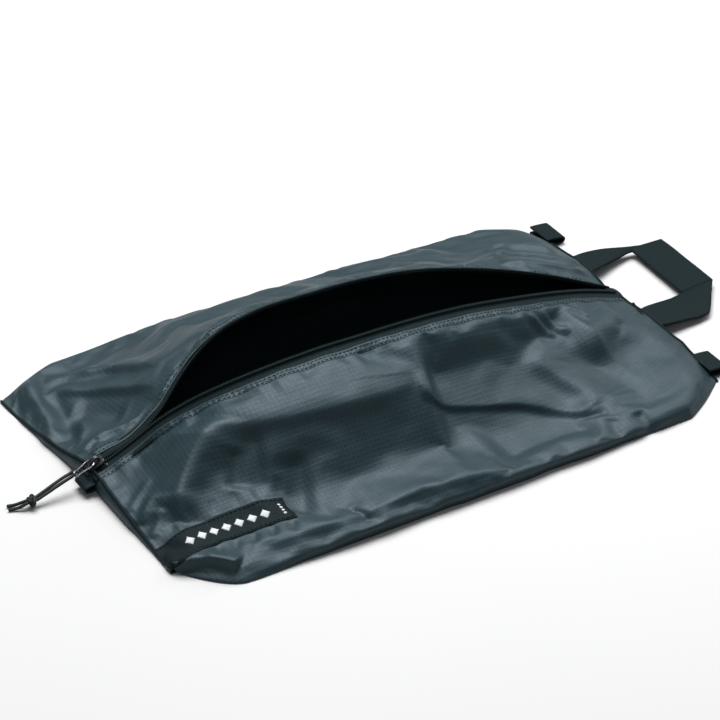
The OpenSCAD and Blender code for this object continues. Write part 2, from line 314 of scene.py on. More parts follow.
def ribbon_mesh(left, right, thickness):
    """A strap between two edge lines, with rounded selvages; its width is along U and its run along V."""
    selvage = 0.018
    underside_u = 40
    left, right = np.array(left, float), np.array(right, float)
    across = right - left
    width = np.linalg.norm(across, axis=1, keepdims=True)
    across = across / width
    along = np.gradient((left + right) / 2, axis=0)
    along /= np.linalg.norm(along, axis=1, keepdims=True)
    normal = np.cross(along, across)
    normal /= np.linalg.norm(normal, axis=1, keepdims=True)
    middle = (left + right) / 2
    run = run_along(middle)
    half = thickness / 2
    section = [(0, half)] + [(s, half) for s in (0.3, 0.6, 0.85)] + [(1 - selvage, half)]
    section += [(1, half * 0.5), (1, -half * 0.5)]
    section += [(1 - selvage, -half)] + [(s, -half) for s in (0.85, 0.6, 0.3, 0)]
    section += [(-s, z) for s, z in section[::-1][1:-1]]
    points, uvs = [], []
    for i in range(len(middle)):
        for s, z in section:
            points.append(middle[i] + across[i] * s * width[i] / 2 + normal[i] * z)
            uvs.append((s * width[i, 0] / 2 + (underside_u if z < 0 else 0), run[i]))
    n = len(section)
    faces = grid_faces(len(middle), n, wrap=True)
    faces.append(tuple(range(n))[::-1])
    faces.append(tuple((len(middle) - 1) * n + i for i in range(n)))
    return points, faces, uvs


def stitch_row(places, directions, normals, length, radius):
    """Short stretches of thread, each a small six-sided lozenge lying on a surface."""
    sides = 6
    # Along the stitch from its middle, size and lift, as shares of half its length and of its radius
    stations = ((-1.0, 0.25, -0.7), (-0.75, 0.85, 0.0), (0, 1.0, 0.35), (0.75, 0.85, 0.0), (1.0, 0.25, -0.7))
    points, faces = [], []
    for place, d, n in zip(places, directions, normals):
        d = d / np.linalg.norm(d)
        side = np.cross(n, d)
        side /= np.linalg.norm(side)
        first = len(points)
        for s, size, lift in stations:
            centre = place + d * s * length / 2 + n * lift * radius
            for k in range(sides):
                a = 2 * math.pi * k / sides
                points.append(centre + radius * size * (side * math.cos(a) + n * math.sin(a)))
        faces += grid_faces(len(stations), sides, wrap=True, first=first)
        faces.append(tuple(range(first, first + sides))[::-1])
        faces.append(tuple(range(len(points) - sides, len(points))))
    return points, faces, []


# ---- Materials ----
class Nodes:
    """Builds one node material with short calls."""

    def __init__(self, name):
        self.material = bpy.data.materials.new(name)
        self.material.use_nodes = True
        self.tree = self.material.node_tree
        self.shader = self.tree.nodes["Principled BSDF"]
        self.uv = self.add("ShaderNodeTexCoord").outputs["UV"]

    def add(self, kind, inputs=None, **settings):
        node = self.tree.nodes.new(kind)
        for key, value in settings.items():
            setattr(node, key, value)
        for key, value in (inputs or {}).items():
            if isinstance(value, bpy.types.NodeSocket):
                self.tree.links.new(value, node.inputs[key])
            else:
                node.inputs[key].default_value = value
        return node

    def math(self, operation, *values):
        node = self.add("ShaderNodeMath", {i: v for i, v in enumerate(values)}, operation=operation)
        return node.outputs[0]

    def axes(self):
        split = self.add("ShaderNodeSeparateXYZ", {0: self.uv})
        return split.outputs[0], split.outputs[1]

    def near_line(self, value, pitch, width):
        """1 on lines a pitch apart, falling to 0 at width from them."""
        away = self.math("PINGPONG", value, pitch / 2)
        node = self.add("ShaderNodeMapRange", {0: away, 1: 0.0, 2: width, 3: 1.0, 4: 0.0},
                        interpolation_type="SMOOTHSTEP")
        return node.outputs[0]

    def noise(self, scale, detail=2.0, roughness=0.5, stretch=(1, 1, 1), by="uv"):
        where = self.uv if by == "uv" else self.add("ShaderNodeTexCoord").outputs["Object"]
        mapped = self.add("ShaderNodeMapping", {"Vector": where, "Scale": stretch}).outputs[0]
        node = self.add("ShaderNodeTexNoise", {"Vector": mapped, "Scale": scale, "Detail": detail,
                                               "Roughness": roughness})
        return node.outputs[0]

    def remap(self, value, low, high, to_low, to_high):
        return self.add("ShaderNodeMapRange", {0: value, 1: low, 2: high, 3: to_low, 4: to_high}).outputs[0]

    def mix(self, share, a, b):
        node = self.add("ShaderNodeMix", {0: share, 6: a, 7: b}, data_type="RGBA")
        return node.outputs[2]

    def set(self, **values):
        for key, value in values.items():
            socket = self.shader.inputs[key.replace("_", " ")]
            if isinstance(value, bpy.types.NodeSocket):
                self.tree.links.new(value, socket)
            else:
                socket.default_value = value

    def bump(self, *heights):
        """Stacks bumps, each (height, distance in metres, strength)."""
        last = None
        for height, distance, strength in heights:
            inputs = {"Height": height, "Distance": distance, "Strength": strength}
            if last is not None:
                inputs["Normal"] = last
            last = self.add("ShaderNodeBump", inputs).outputs[0]
        self.tree.links.new(last, self.shader.inputs["Normal"])


# The tint of the soft reflections on the dark woven parts
DARK_TINT = (0.62, 0.93, 1.0, 1)


def ripstop(name, ground, line, roughness, pitch=0.0027):
    """Thin nylon with a grid of thicker yarns, a faint fine weave and a satin coating."""
    m = Nodes(name)
    x, y = m.axes()
    grid = m.math("MAXIMUM", m.near_line(x, pitch, 0.00055), m.near_line(y, pitch, 0.00055))
    weave = m.math("MULTIPLY", m.math("SINE", m.math("MULTIPLY", x, 14000.0)),
                   m.math("SINE", m.math("MULTIPLY", y, 14000.0)))
    cloud = m.noise(18.0, 3.0, 0.55)
    crinkle = m.noise(160.0, 4.0, 0.6)
    shade = m.mix(m.remap(cloud, 0.3, 0.7, 0.0, 1.0), tuple(c * 0.88 for c in ground[:3]) + (1,), ground)
    m.set(Base_Color=m.mix(m.math("MULTIPLY", grid, 0.4), shade, line))
    m.set(Roughness=m.remap(m.math("ADD", m.math("MULTIPLY", grid, 0.5), crinkle), 0.3, 1.2,
                            roughness - 0.04, roughness + 0.08))
    m.set(Specular_IOR_Level=0.31, Specular_Tint=(0.76, 0.89, 1.0, 1))
    m.bump((crinkle, 0.0005, 0.3), (grid, 0.0001, 0.45), (weave, 0.00003, 0.5))
    return m.material


def webbing(name, colour, pale, rib=0.0018):
    """Narrow woven strap: ribs across, two columns of twill and tight edges."""
    m = Nodes(name)
    x, y = m.axes()
    slant = m.math("ADD", m.math("MULTIPLY", m.math("PINGPONG", x, 0.0016), 1.0), y)
    twill = m.math("SINE", m.math("MULTIPLY", slant, 2 * math.pi / rib))
    cords = m.math("SINE", m.math("MULTIPLY", x, 2 * math.pi / 0.0016))
    fuzz = m.noise(900.0, 3.0, 0.6)
    lit = m.remap(m.math("ADD", twill, m.math("MULTIPLY", cords, 0.5)), -1.4, 1.4, 0.0, 1.0)
    m.set(Base_Color=m.mix(lit, colour, pale))
    m.set(Roughness=m.remap(fuzz, 0.3, 0.7, 0.62, 0.8))
    m.set(Sheen_Weight=0.01, Sheen_Roughness=0.5, Specular_IOR_Level=0.09, Specular_Tint=DARK_TINT)
    m.bump((fuzz, 0.0001, 0.4), (lit, 0.00022, 0.8))
    return m.material


def woven_tape(name, colour, pale):
    """Zip tape: fine ribs along its length with a knitted cross pattern."""
    m = Nodes(name)
    x, y = m.axes()
    ribs = m.math("SINE", m.math("MULTIPLY", y, 2 * math.pi / 0.0009))
    slant = m.math("ADD", x, m.math("MULTIPLY", y, 0.5))
    cross = m.math("SINE", m.math("MULTIPLY", slant, 2 * math.pi / 0.0011))
    lit = m.remap(m.math("ADD", ribs, m.math("MULTIPLY", cross, 0.6)), -1.5, 1.5, 0.0, 1.0)
    fuzz = m.noise(700.0)
    m.set(Base_Color=m.mix(lit, colour, pale))
    m.set(Roughness=m.remap(fuzz, 0.3, 0.7, 0.55, 0.75))
    m.set(Sheen_Weight=0.005, Specular_IOR_Level=0.09, Specular_Tint=DARK_TINT)
    m.bump((fuzz, 0.00008, 0.4), (lit, 0.00014, 0.7))
    return m.material


def braid(name, colour, pale, pitch=0.0016):
    """Round braided cord: two sets of strands that cross."""
    m = Nodes(name)
    x, y = m.axes()
    a = m.math("SINE", m.math("MULTIPLY", m.math("ADD", x, y), 2 * math.pi / pitch))
    b = m.math("SINE", m.math("MULTIPLY", m.math("SUBTRACT", x, y), 2 * math.pi / pitch))
    lit = m.remap(m.math("MULTIPLY", a, b), -1.0, 1.0, 0.0, 1.0)
    m.set(Base_Color=m.mix(lit, colour, pale))
    m.set(Roughness=m.remap(m.noise(600.0), 0.3, 0.7, 0.55, 0.75))
    m.set(Specular_IOR_Level=0.25)
    m.bump((lit, 0.00015, 0.8))
    return m.material


def metal(name, colour, roughness):
    """Plated metal with fine wear."""
    m = Nodes(name)
    wear = m.noise(220.0, 4.0, 0.6, by="object")
    fine = m.noise(1500.0, 2.0, 0.5, by="object")
    worn = tuple(c * 1.6 for c in colour[:3]) + (1,)
    m.set(Base_Color=m.mix(m.remap(wear, 0.45, 0.75, 0.0, 0.5), colour, worn))
    m.set(Roughness=m.remap(fine, 0.3, 0.7, roughness - 0.05, roughness + 0.1))
    m.set(Metallic=1.0)
    m.bump((fine, 0.00002, 0.3))
    return m.material


def thread(name, colour):
    """Twisted thread or nylon monofilament."""
    m = Nodes(name)
    twist = m.noise(2500.0, 2.0, 0.5, by="object")
    m.set(Base_Color=m.mix(twist, tuple(c * 0.7 for c in colour[:3]) + (1,), colour))
    m.set(Roughness=m.remap(twist, 0.3, 0.7, 0.5, 0.7))
    m.set(Specular_IOR_Level=0.15, Specular_Tint=DARK_TINT)
    m.bump((twist, 0.00004, 0.5))
    return m.material


def floor_paint():
    """The plain pale floor."""
    m = Nodes("pale_floor")
    grain = m.noise(3.0, 2.0, 0.5, by="object")
    m.set(Base_Color=m.mix(grain, (0.43, 0.43, 0.433, 1), (0.45, 0.45, 0.453, 1)))
    m.set(Roughness=0.75)
    return m.material


SHELL = ripstop("ripstop_shell", (0.0105, 0.0235, 0.028, 1), (0.017, 0.034, 0.040, 1), 0.48)
BINDING = woven_tape("binding_tape", (0.003, 0.006, 0.007, 1), (0.008, 0.013, 0.015, 1))
TAPE = woven_tape("zip_tape_weave", (0.0025, 0.0055, 0.006, 1), (0.007, 0.0125, 0.014, 1))
COIL = thread("zip_coil_nylon", (0.006, 0.010, 0.011, 1))
THREAD = thread("sewing_thread", (0.006, 0.011, 0.012, 1))
WEBBING = webbing("nylon_webbing", (0.0015, 0.0035, 0.004, 1), (0.006, 0.011, 0.0125, 1))
LABEL = woven_tape("label_weave", (0.003, 0.0055, 0.0065, 1), (0.006, 0.0095, 0.011, 1))
MOTIF = thread("label_motif_thread", (0.62, 0.64, 0.66, 1))
CORD = braid("cord_braid", (0.004, 0.006, 0.007, 1), (0.018, 0.022, 0.024, 1))
SLIDER = metal("slider_black_nickel", (0.05, 0.052, 0.056, 1), 0.35)
WIRE = metal("pull_wire_nickel", (0.26, 0.27, 0.28, 1), 0.25)

# ---- Camera, floor and light ----
AZIMUTH, ELEVATION = math.radians(-30.8), math.radians(33.1)
DISTANCE = 2.0
TARGET = Vector((0.016, 0.034, 0.0))
FOCAL_MM = 165.3

camera_data = bpy.data.cameras.new("camera")
camera_data.lens = FOCAL_MM
camera_data.sensor_width = 36.0
camera = bpy.data.objects.new("camera", camera_data)
away = Vector((math.sin(AZIMUTH) * math.cos(ELEVATION), -math.cos(AZIMUTH) * math.cos(ELEVATION),
               math.sin(ELEVATION)))
camera.location = TARGET + away * DISTANCE
camera.rotation_euler = away.to_track_quat("Z", "Y").to_euler()
bpy.context.collection.objects.link(camera)
bpy.context.scene.camera = camera


def area_light(name, place, size, power):
    """A softbox aimed at the middle of the floor."""
    data = bpy.data.lights.new(name, "AREA")
    data.shape = "RECTANGLE"
    data.size, data.size_y = size
    data.energy = power
    light = bpy.data.objects.new(name, data)
    light.location = place
    light.rotation_euler = Vector(place).to_track_quat("Z", "Y").to_euler()
    bpy.context.collection.objects.link(light)


area_light("key_softbox", (0.2, 0.5, 1.6), (1.5, 1.2), 70)
area_light("side_softbox", (1.4, 0.3, 0.9), (0.8, 0.8), 8)
area_light("front_softbox", (-0.9, -1.5, 1.15), (0.9, 0.9), 5)
world = bpy.data.worlds.new("studio")
world.use_nodes = True
world.node_tree.nodes["Background"].inputs[0].default_value = (0.95, 0.97, 1.0, 1)
world.node_tree.nodes["Background"].inputs[1].default_value = 0.16
bpy.context.scene.world = world
bpy.context.scene.view_settings.view_transform = "Standard"

FLOOR_HALF = 3000
floor_corners = [(x * FLOOR_HALF, y * FLOOR_HALF, 0) for x, y in ((-1, -1), (1, -1), (1, 1), (-1, 1))]
floor = new_object("floor", floor_corners, [(0, 1, 2, 3)], material=floor_paint(), smooth=False)

# ---- The pull cord: two strands of one thin cord, knotted together ----
CORD_R = 1.0
STRAND_FRONT = [
    (-193.9, -1.4, 12.4), (-195.2, -1.5, 11.7), (-198, -1.7, 10.9), (-201, -1.9, 10.1), (-204, -2.1, 9.2),
    (-207, -2.4, 8.4), (-210, -2.7, 7.5), (-213, -2.9, 6.6), (-216, -3.1, 5.7), (-217.8, -3.2, 5.1),
    (-225.5, -2.8, 4.2), (-227.6, -2.2, 3.1), (-229.8, -1.2, 2), (-232, -0.2, 1.4), (-234.4, 0.6, 1.2),
]
STRAND_BACK = [
    (-193.9, 1.4, 12.4), (-195.2, 1.4, 11.8), (-198, 1.3, 11.1), (-201, 1, 10.4), (-204, 0.7, 9.5),
    (-207, 0.4, 8.6), (-210, 0.1, 7.6), (-213, -0.3, 6.7), (-216, -0.6, 5.8), (-217.8, -0.8, 5.2),
    (-225.3, -0.4, 4.3), (-227.3, 0.9, 3.2), (-229.3, 2.2, 2.1), (-231.4, 3.4, 1.4), (-233.6, 4.4, 1.2),
]
KNOT_AT = np.array([-221.6, -2.2, 4.5])


def pull_cord():
    """The two strands and their knot, standing in for the frame's two cords and its knot, all riding on the
    cord.
    """
    for name, route in (("pull_cord_front", STRAND_FRONT), ("pull_cord_back", STRAND_BACK)):
        path = smooth_path(route, 60)
        strand = tube_object(name + "_braided", [path], CORD_R, CORD, sides=10)
        stand_in(strand, name, "cord")
    # A trefoil drawn twice, side by side, is the overhand knot of a doubled cord
    turns = np.linspace(0, 2 * math.pi, 73)[:-1]
    loops = []
    for gap in (-0.8, 0.8):
        x = (np.sin(turns) + 2 * np.sin(2 * turns)) * 0.72
        y = (np.cos(turns) - 2 * np.cos(2 * turns)) * 0.95
        z = -np.sin(3 * turns) * 1.5
        loops.append(KNOT_AT + np.stack([x + gap * 0.4, y + gap, z + gap * 0.25], axis=1))
    knot = tube_object("cord_knot_tied", loops, CORD_R * 0.95, CORD, sides=10, closed=True)
    stand_in(knot, "cord_knot", "cord")


pull_cord()

# ---- The shape of the panels ----
ROWS, COLUMNS = 132, 320
# Rows along which a section is first drawn, before its rows are spread evenly
FINE = 241

# The cross-section of each side at mid-length, from its lower edge to the hem: shares of the way in and up
PROFILE = {
    FRONT: (
        [0, -0.02, 0.05, 0.22, 0.39, 0.52, 0.66, 0.85, 1],
        [0, 0.12, 0.17, 0.205, 0.25, 0.44, 0.70, 0.91, 1],
    ),
    BACK: (
        [0, -0.01, 0.04, 0.25, 0.50, 0.70, 0.85, 1],
        [0, 0.10, 0.17, 0.33, 0.53, 0.72, 0.88, 1],
    ),
}

# How late the left end seam rises from the floor to the zip, and how far the cloth swells by the cut corners
END_RISE = {FRONT: 1.2, BACK: 1.9}
SWELL = {FRONT: 3.0, BACK: 6.5}


def lean_at(x, height, side):
    """How far the zip leans outwards at x, in degrees: settled in steps, because the blend depends on it."""
    lean = np.zeros_like(x)
    for _ in range(40):
        a = np.radians(lean)
        place = np.stack([x, side * height * np.sin(a), ZIP_Z + height * np.cos(a)], axis=-1)
        lean = 0.5 * lean + 0.5 * LEAN[side] * closing_share(place, side)
    return lean


def chain_point(x, side, off=0.0, lift=0.0):
    """A point off one side of the open zip: off millimetres down its tape and lift above it."""
    x = np.asarray(x, float)
    height = smooth_curve(RIM_X, RIM_H[side], x)
    a = np.radians(lean_at(x, height, side))
    y = side * (height * np.sin(a) + off * np.cos(a) + lift * np.sin(a))
    z = ZIP_Z + height * np.cos(a) - off * np.sin(a) + lift * np.cos(a)
    return np.stack([x + 0 * y, y, z], axis=-1)


def lower_edge(u, side):
    """The lower edge of a panel at shares u of its length, with its corners cut off."""
    left, right = LEFT_X[side], RIGHT_X
    x = left + (right - left) * u
    cut = 0 * x
    for from_end, (long, wide, power) in zip((x - left, right - x), CORNERS[side]):
        cut = cut + wide * np.clip(1 - from_end / long, 0, 1) ** power
    y = side * (EDGE_Y[side] - EDGE_TAPER[side] * x - cut)
    return np.stack([x, y, np.full_like(x, CLOTH + 0.2)], axis=-1)


def panel_base(side):
    """The panel's smooth shape: columns run from its lower edge up to the hem beside the zip tape."""
    u = np.linspace(0, 1, COLUMNS + 1)
    low = lower_edge(u, side)
    top = chain_point(ZIP_LEFT + (ZIP_RIGHT - ZIP_LEFT) * u, side, TAPE_SHOWN, 0.5)
    ends = (1 - np.abs(2 * u - 1) ** 4)[None, :]
    out, up = PROFILE[side]
    knots = np.linspace(0, 1, len(out))
    fine = np.linspace(0, 1, FINE)[:, None]
    out_share = smooth_curve(knots, out, fine) * ends + fine * (1 - ends)
    end_up = np.where(u[None, :] < 0.5, fine ** END_RISE[side], np.sin(fine * math.pi / 2) ** 0.9)
    up_share = smooth_curve(knots, up, fine) * ends + end_up * (1 - ends)
    curve = np.empty((FINE, COLUMNS + 1, 3))
    for k, share in ((0, fine**1.5 + 0 * ends), (1, out_share), (2, up_share)):
        curve[:, :, k] = low[None, :, k] + (top[:, k] - low[:, k])[None, :] * share
    corner = np.exp(-((1 - np.abs(2 * u - 1)) / 0.28) ** 2) * step(1 - np.abs(2 * u - 1), 0, 0.09)
    curve[:, :, 2] += SWELL[side] * corner[None, :] * np.sin(math.pi * fine**0.5) * (1 - fine)
    steps = np.linalg.norm(np.diff(curve, axis=0), axis=2)
    run = np.concatenate([np.zeros((1, COLUMNS + 1)), np.cumsum(steps, axis=0)])
    v = 1 - (1 - np.linspace(0, 1, ROWS + 1)) ** 1.15
    points = np.empty((ROWS + 1, COLUMNS + 1, 3))
    down = np.empty((ROWS + 1, COLUMNS + 1))
    for i in range(COLUMNS + 1):
        want = v * run[-1, i]
        for k in range(3):
            points[:, i, k] = np.interp(want, run[:, i], curve[:, i, k])
        down[:, i] = run[-1, i] - want
    along = np.broadcast_to(low[:, 0], down.shape)
    return points, along, down


def fold(route, high, left, right, lean=0.0, fade=0.22):
    """A ridge in the cloth, or with a negative height a valley, along a route of (x, distance below the hem).

    It spreads by left and right on the two sides of someone walking the route. lean pushes its crest
    downhill, and fade is the share of the route at each end over which it dies out.
    """
    return {"route": route, "high": high, "left": left, "right": right, "lean": lean, "fade": fade}


def fold_field(along, down, item):
    """How strongly a fold lifts each point of the cloth, from 0 to 1."""
    route = smooth_path(item["route"], 40)
    best = np.full(along.shape, 1e9)
    right_side = np.zeros(along.shape, bool)
    at = np.zeros(along.shape)
    pieces = len(route) - 1
    for i in range(pieces):
        a, b = route[i], route[i + 1]
        d = b - a
        t = np.clip(((along - a[0]) * d[0] + (down - a[1]) * d[1]) / (d @ d), 0, 1)
        ox, oy = along - a[0] - t * d[0], down - a[1] - t * d[1]
        far = np.hypot(ox, oy)
        near = far < best
        best[near] = far[near]
        right_side[near] = (d[0] * oy - d[1] * ox > 0)[near]
        at[near] = ((i + t) / pieces)[near]
    width = np.where(right_side, item["right"], item["left"])
    ends = step(at, -0.02, item["fade"]) * (1 - step(at, 1 - item["fade"], 1.02))
    return np.exp(-(best / width) ** 2) * ends


# The large folds of each panel: (route), height, spread left and right, and where given lean and fade
FOLDS = {
    FRONT: [
        # The panel's knee below the hem, where the gently sloping cloth turns steep
        fold([(-128, 10), (-118, 18), (-104, 24), (-87, 28), (-62, 31), (-36, 33), (-12, 32), (2, 28)],
             4, 15, 6, 0.1),
        # The ledge right of the middle: a hollow, its overhanging lower edge and its end
        fold([(6, 28), (28, 31), (52, 31), (78, 29), (104, 25), (128, 19)], -11, 16, 38, 0, 0.12),
        fold([(3, 26), (2, 40), (15, 49), (37, 55), (66, 62), (85, 72), (99, 82), (107, 85)],
             3.2, 10, 3.2, 0.2, 0.12),
        fold([(132, 22), (115, 29), (92, 40), (97, 51), (104, 66), (111, 77), (110, 85)],
             4.6, 24, 9, 0, 0.2),
        fold([(88, 78), (98, 84), (108, 86)], -2.2, 4, 3, 0, 0.3),
        fold([(24, 92), (50, 88), (76, 87), (98, 90)], -5, 17, 7, 0, 0.2),
        # Long creases that run from the zip's left end to the label
        fold([(-118, 12), (-125, 22), (-138, 32), (-153, 46), (-164, 62)], 8, 13, 21, 0.1),
        fold([(-110, 10), (-121, 22), (-134, 34), (-149, 48), (-164, 66)], 2.6, 9, 7, 0, 0.2),
        fold([(-116, 34), (-120, 46), (-126, 60)], -3, 5, 5),
        fold([(-105, 28), (-108, 42), (-112, 56), (-116, 66)], -2.8, 6, 8),
        fold([(-86, 48), (-89, 62), (-95, 76), (-103, 88)], -4.2, 7, 12),
        fold([(-180, 50), (-172, 43), (-163, 38)], 1.3, 3, 3),
        fold([(-182, 38), (-172, 30), (-160, 24)], 1.1, 3, 3),
        fold([(-180, 62), (-172, 56), (-166, 50)], 1.2, 3, 3),
        # Short shiny creases below the zip's right end
        fold([(98, 6), (105, 14), (112, 25)], 2.6, 2.6, 2.6),
        fold([(108, 5), (114, 15), (121, 26)], 2.8, 2.8, 2.8),
        fold([(126, 5), (133, 13), (139, 22)], 2.2, 2.6, 2.6),
        # The flatter right end
        fold([(116, 44), (130, 34), (146, 26), (164, 18)], 3, 10, 10),
        fold([(120, 60), (134, 55), (150, 46), (166, 32)], -2.8, 13, 13, 0, 0.45),
        fold([(119, 94), (121, 104), (124, 112)], -2.2, 4, 5),
        fold([(104, 92), (100, 100), (98, 108)], -1.6, 4, 4),
        # The lower edge: a flat band above a short wall, and the tucked corner
        fold([(-150, 112), (-120, 104), (-88, 102), (-48, 101), (0, 103), (40, 104)], 2.8, 10, 4, 0.1),
        fold([(-76, 94), (-72, 101), (-70, 108)], -1.6, 2.5, 2.5),
        fold([(-184, 86), (-177, 89), (-168, 94), (-160, 101), (-151, 112)], 6.5, 6.5, 4, 0.5, 0.1),
    ],
    BACK: [
        # Along the left seam
        fold([(-172, 104), (-176, 82), (-181, 60), (-187, 34)], 2.5, 5, 5),
        fold([(-166, 80), (-169, 63), (-177, 41), (-184, 24)], -3, 6, 5),
        # Soft folds that spread from the middle of the panel to the left corner
        fold([(-164, 84), (-155, 67), (-143, 49), (-133, 26), (-127, 9)], 3, 3, 10, 0.1),
        fold([(-164, 92), (-150, 87), (-135, 74)], 1.6, 3, 6),
        fold([(-152, 84), (-131, 67), (-122, 41), (-115, 16)], 2.8, 3, 9, 0.1),
        fold([(-168, 56), (-158, 40), (-150, 22)], -3.2, 9, 9),
        # Creases that bend round the slider
        fold([(-188, 7), (-178, 12), (-168, 15), (-158, 12), (-146, 5)], 2.4, 3, 4),
        fold([(-183, 8), (-177, 12), (-173, 14)], -2, 2.2, 2.2),
        fold([(-182, 22), (-173, 30), (-167, 44)], 1.4, 3, 3),
        fold([(-160, 5), (-152, 9), (-140, 10)], 1.2, 2, 2),
        # Behind the mouth
        fold([(-104, 74), (-60, 60), (-20, 66), (24, 56)], 2.6, 8, 8),
        fold([(-84, 38), (-30, 34), (30, 42), (84, 36)], -3, 8, 10),
        fold([(40, 80), (80, 70), (124, 78)], 2.4, 7, 7),
        fold([(96, 12), (120, 20), (136, 38), (150, 60)], 2.2, 4, 8),
        # Shiny creases at the right end
        fold([(118, 16), (145, 13), (168, 11), (184, 14)], 3.6, 3, 6),
        fold([(122, 32), (150, 29), (172, 25), (186, 28)], 3.4, 3, 6),
        fold([(130, 54), (155, 49), (178, 42)], 3, 4, 6),
    ],
}
# Gathers above and below the stitched label
FOLDS[FRONT] += [fold([(x + 4, 58), (x + 1, 70)], -0.7, 2.6, 2.6, 0, 0.4) for x in range(-170, -104, 13)]
FOLDS[FRONT] += [fold([(x, 89), (x - 5, 102)], -1.3, 2.8, 2.8, 0, 0.4) for x in range(-164, -108, 11)]


def wrinkles(side, along, down, tall):
    """Small creases: puckers beside the stitched hem and the end seams, and faint crumples all over."""
    seed = 20 if side == FRONT else 60
    end_x = 186
    near_hem = np.exp(-((down - 8) / 7) ** 2) * step(down, 2, 7)
    near_hem = near_hem * (0.35 + 0.65 * step(tall, 70, 110))
    gathers = noise(along, down, seed + 1, 5.5, 60) * 0.9 + noise(along, down, seed + 2, 3.2, 40) * 0.35
    near_end = np.exp(-(np.minimum(along + end_x, end_x - along) / 14) ** 2)
    end_gathers = noise(along, down, seed + 3, 40, 9) * 0.9
    crumple = noise(along + 0.6 * down, down, seed + 4, 34, 12) * 0.5
    crumple = crumple + noise(along - down, down, seed + 5, 22, 16) * 0.4
    floor_free = step(tall - down, 0, 12)
    return (gathers * near_hem * 0.6 + end_gathers * near_end * 0.7 + crumple * 0.4) * floor_free


# The cloth simulation: how much too large each panel is for its edges, the most that a point may move, the
# steps it runs for, and how many times larger than life it is, for stable numbers
GROW = {FRONT: 0.013, BACK: 0.016}
CAP = 3.0
STEPS = 18
SIM_SCALE = 10.0


def relax(points, seed, grow, quick):
    """Lets a coarse copy of the cloth buckle with its edges held, and returns how far each point moved."""
    rows, columns = 49, 121
    if quick:
        return np.zeros_like(points)
    v, u = np.meshgrid(np.linspace(0, 1, rows), np.linspace(0, 1, columns), indexing="ij")
    coarse = sample(points, u, v)
    start = coarse + grid_normals(coarse) * noise(u * 380, v * 130, seed, 14, 11)[..., None] * 0.5
    cloth = new_object("relaxing", start.reshape(-1, 3) * SIM_SCALE, grid_faces(rows, columns))
    edge = np.minimum(np.minimum(u, 1 - u) * columns, np.minimum(v - 0.03, 1 - v) * rows)
    weights = np.where(edge < 0.6, 1.0, 0.02)
    group = cloth.vertex_groups.new(name="held")
    for index, weight in enumerate(weights.ravel()):
        group.add([index], float(weight), "REPLACE")
    modifier = cloth.modifiers.new("cloth", "CLOTH")
    settings = modifier.settings
    settings.vertex_group_mass = "held"
    settings.pin_stiffness = 1.0
    settings.quality = 6
    settings.mass = 0.15
    settings.tension_stiffness = settings.compression_stiffness = 20
    settings.shear_stiffness = 8
    settings.bending_stiffness = 0.6
    settings.air_damping = 4
    settings.shrink_min = -grow
    settings.effector_weights.gravity = 0
    modifier.collision_settings.use_collision = False
    scene = bpy.context.scene
    for number in range(1, STEPS + 1):
        scene.frame_set(number)
    result = cloth.evaluated_get(bpy.context.evaluated_depsgraph_get())
    moved = np.empty(rows * columns * 3)
    result.data.vertices.foreach_get("co", moved)
    scene.frame_set(1)
    bpy.data.objects.remove(cloth)
    shift = moved.reshape(rows, columns, 3) / (SIM_SCALE * MM) - coarse
    far = np.linalg.norm(shift, axis=2, keepdims=True)
    shift *= np.minimum(1, CAP / np.maximum(far, 1e-6))
    rows, columns = points.shape[:2]
    v, u = np.meshgrid(np.linspace(0, 1, rows), np.linspace(0, 1, columns), indexing="ij")
    return smooth_sample(shift, u, v)


def smooth_sample(grid, u, v):
    """Like sample, but with rounded steps between the grid's points."""
    rows, columns = grid.shape[0] - 1, grid.shape[1] - 1
    offsets = ((-0.25, 0.25), (0.25, 0.25), (-0.25, -0.25), (0.25, -0.25))
    parts = [sample(grid, u + a / columns, v + b / rows) for a, b in offsets]
    return sum(parts) / 4


def panel_shape(side):
    """A panel's finished cloth, and for each of its points the x and the distance below the hem."""
    points, along, down = panel_base(side)
    tall = down[0][None, :]
    normals = grid_normals(points) * -side
    slide = np.gradient(points, axis=0)
    slide /= -np.maximum(np.linalg.norm(slide, axis=2, keepdims=True), 1e-9)
    for item in FOLDS[side]:
        lift = (fold_field(along, down, item) * step(down, HEM - 1, HEM + 8))[..., None] * item["high"]
        points = points + normals * lift + slide * lift * item["lean"]
    points = points + relax(points, 7 + side, GROW[side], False)
    normals = grid_normals(points) * -side
    points = points + normals * wrinkles(side, along, down, tall)[..., None]
    points[..., 2] = np.maximum(points[..., 2], CLOTH + 0.15)
    return points, along, down


panels = {side: panel_shape(side) for side in (FRONT, BACK)}


def build_panel(side, name):
    points, along, down = panels[side]
    uvs = np.stack([along, -down], axis=-1)
    if side == BACK:
        points, uvs = points[:, ::-1], uvs[:, ::-1]
    panel = sheet_object(name + "_cloth", points, uvs, SHELL, CLOTH)
    stand_in(panel, name, side)


build_panel(FRONT, "front_panel")
build_panel(BACK, "back_panel")


# ---- The zip: tapes, coils and stitching ----
COIL_R = 1.15
COIL_PITCH = 1.5
# The coil's middle, off the zip's line down its tape and lifted above the tape
COIL_OFF, COIL_LIFT = 0.9, 0.75
# Length and height of the hem's puckers
PUCKER = 3.6
PUCKER_H = 0.14


def sewn_strip(name, side, points, uvs, material, thickness):
    """A sheet along one side of the zip, turned so that its outer face looks out."""
    if side == FRONT:
        points, uvs = points[:, ::-1], uvs[:, ::-1]
    return sheet_object(name, points, uvs, material, thickness)


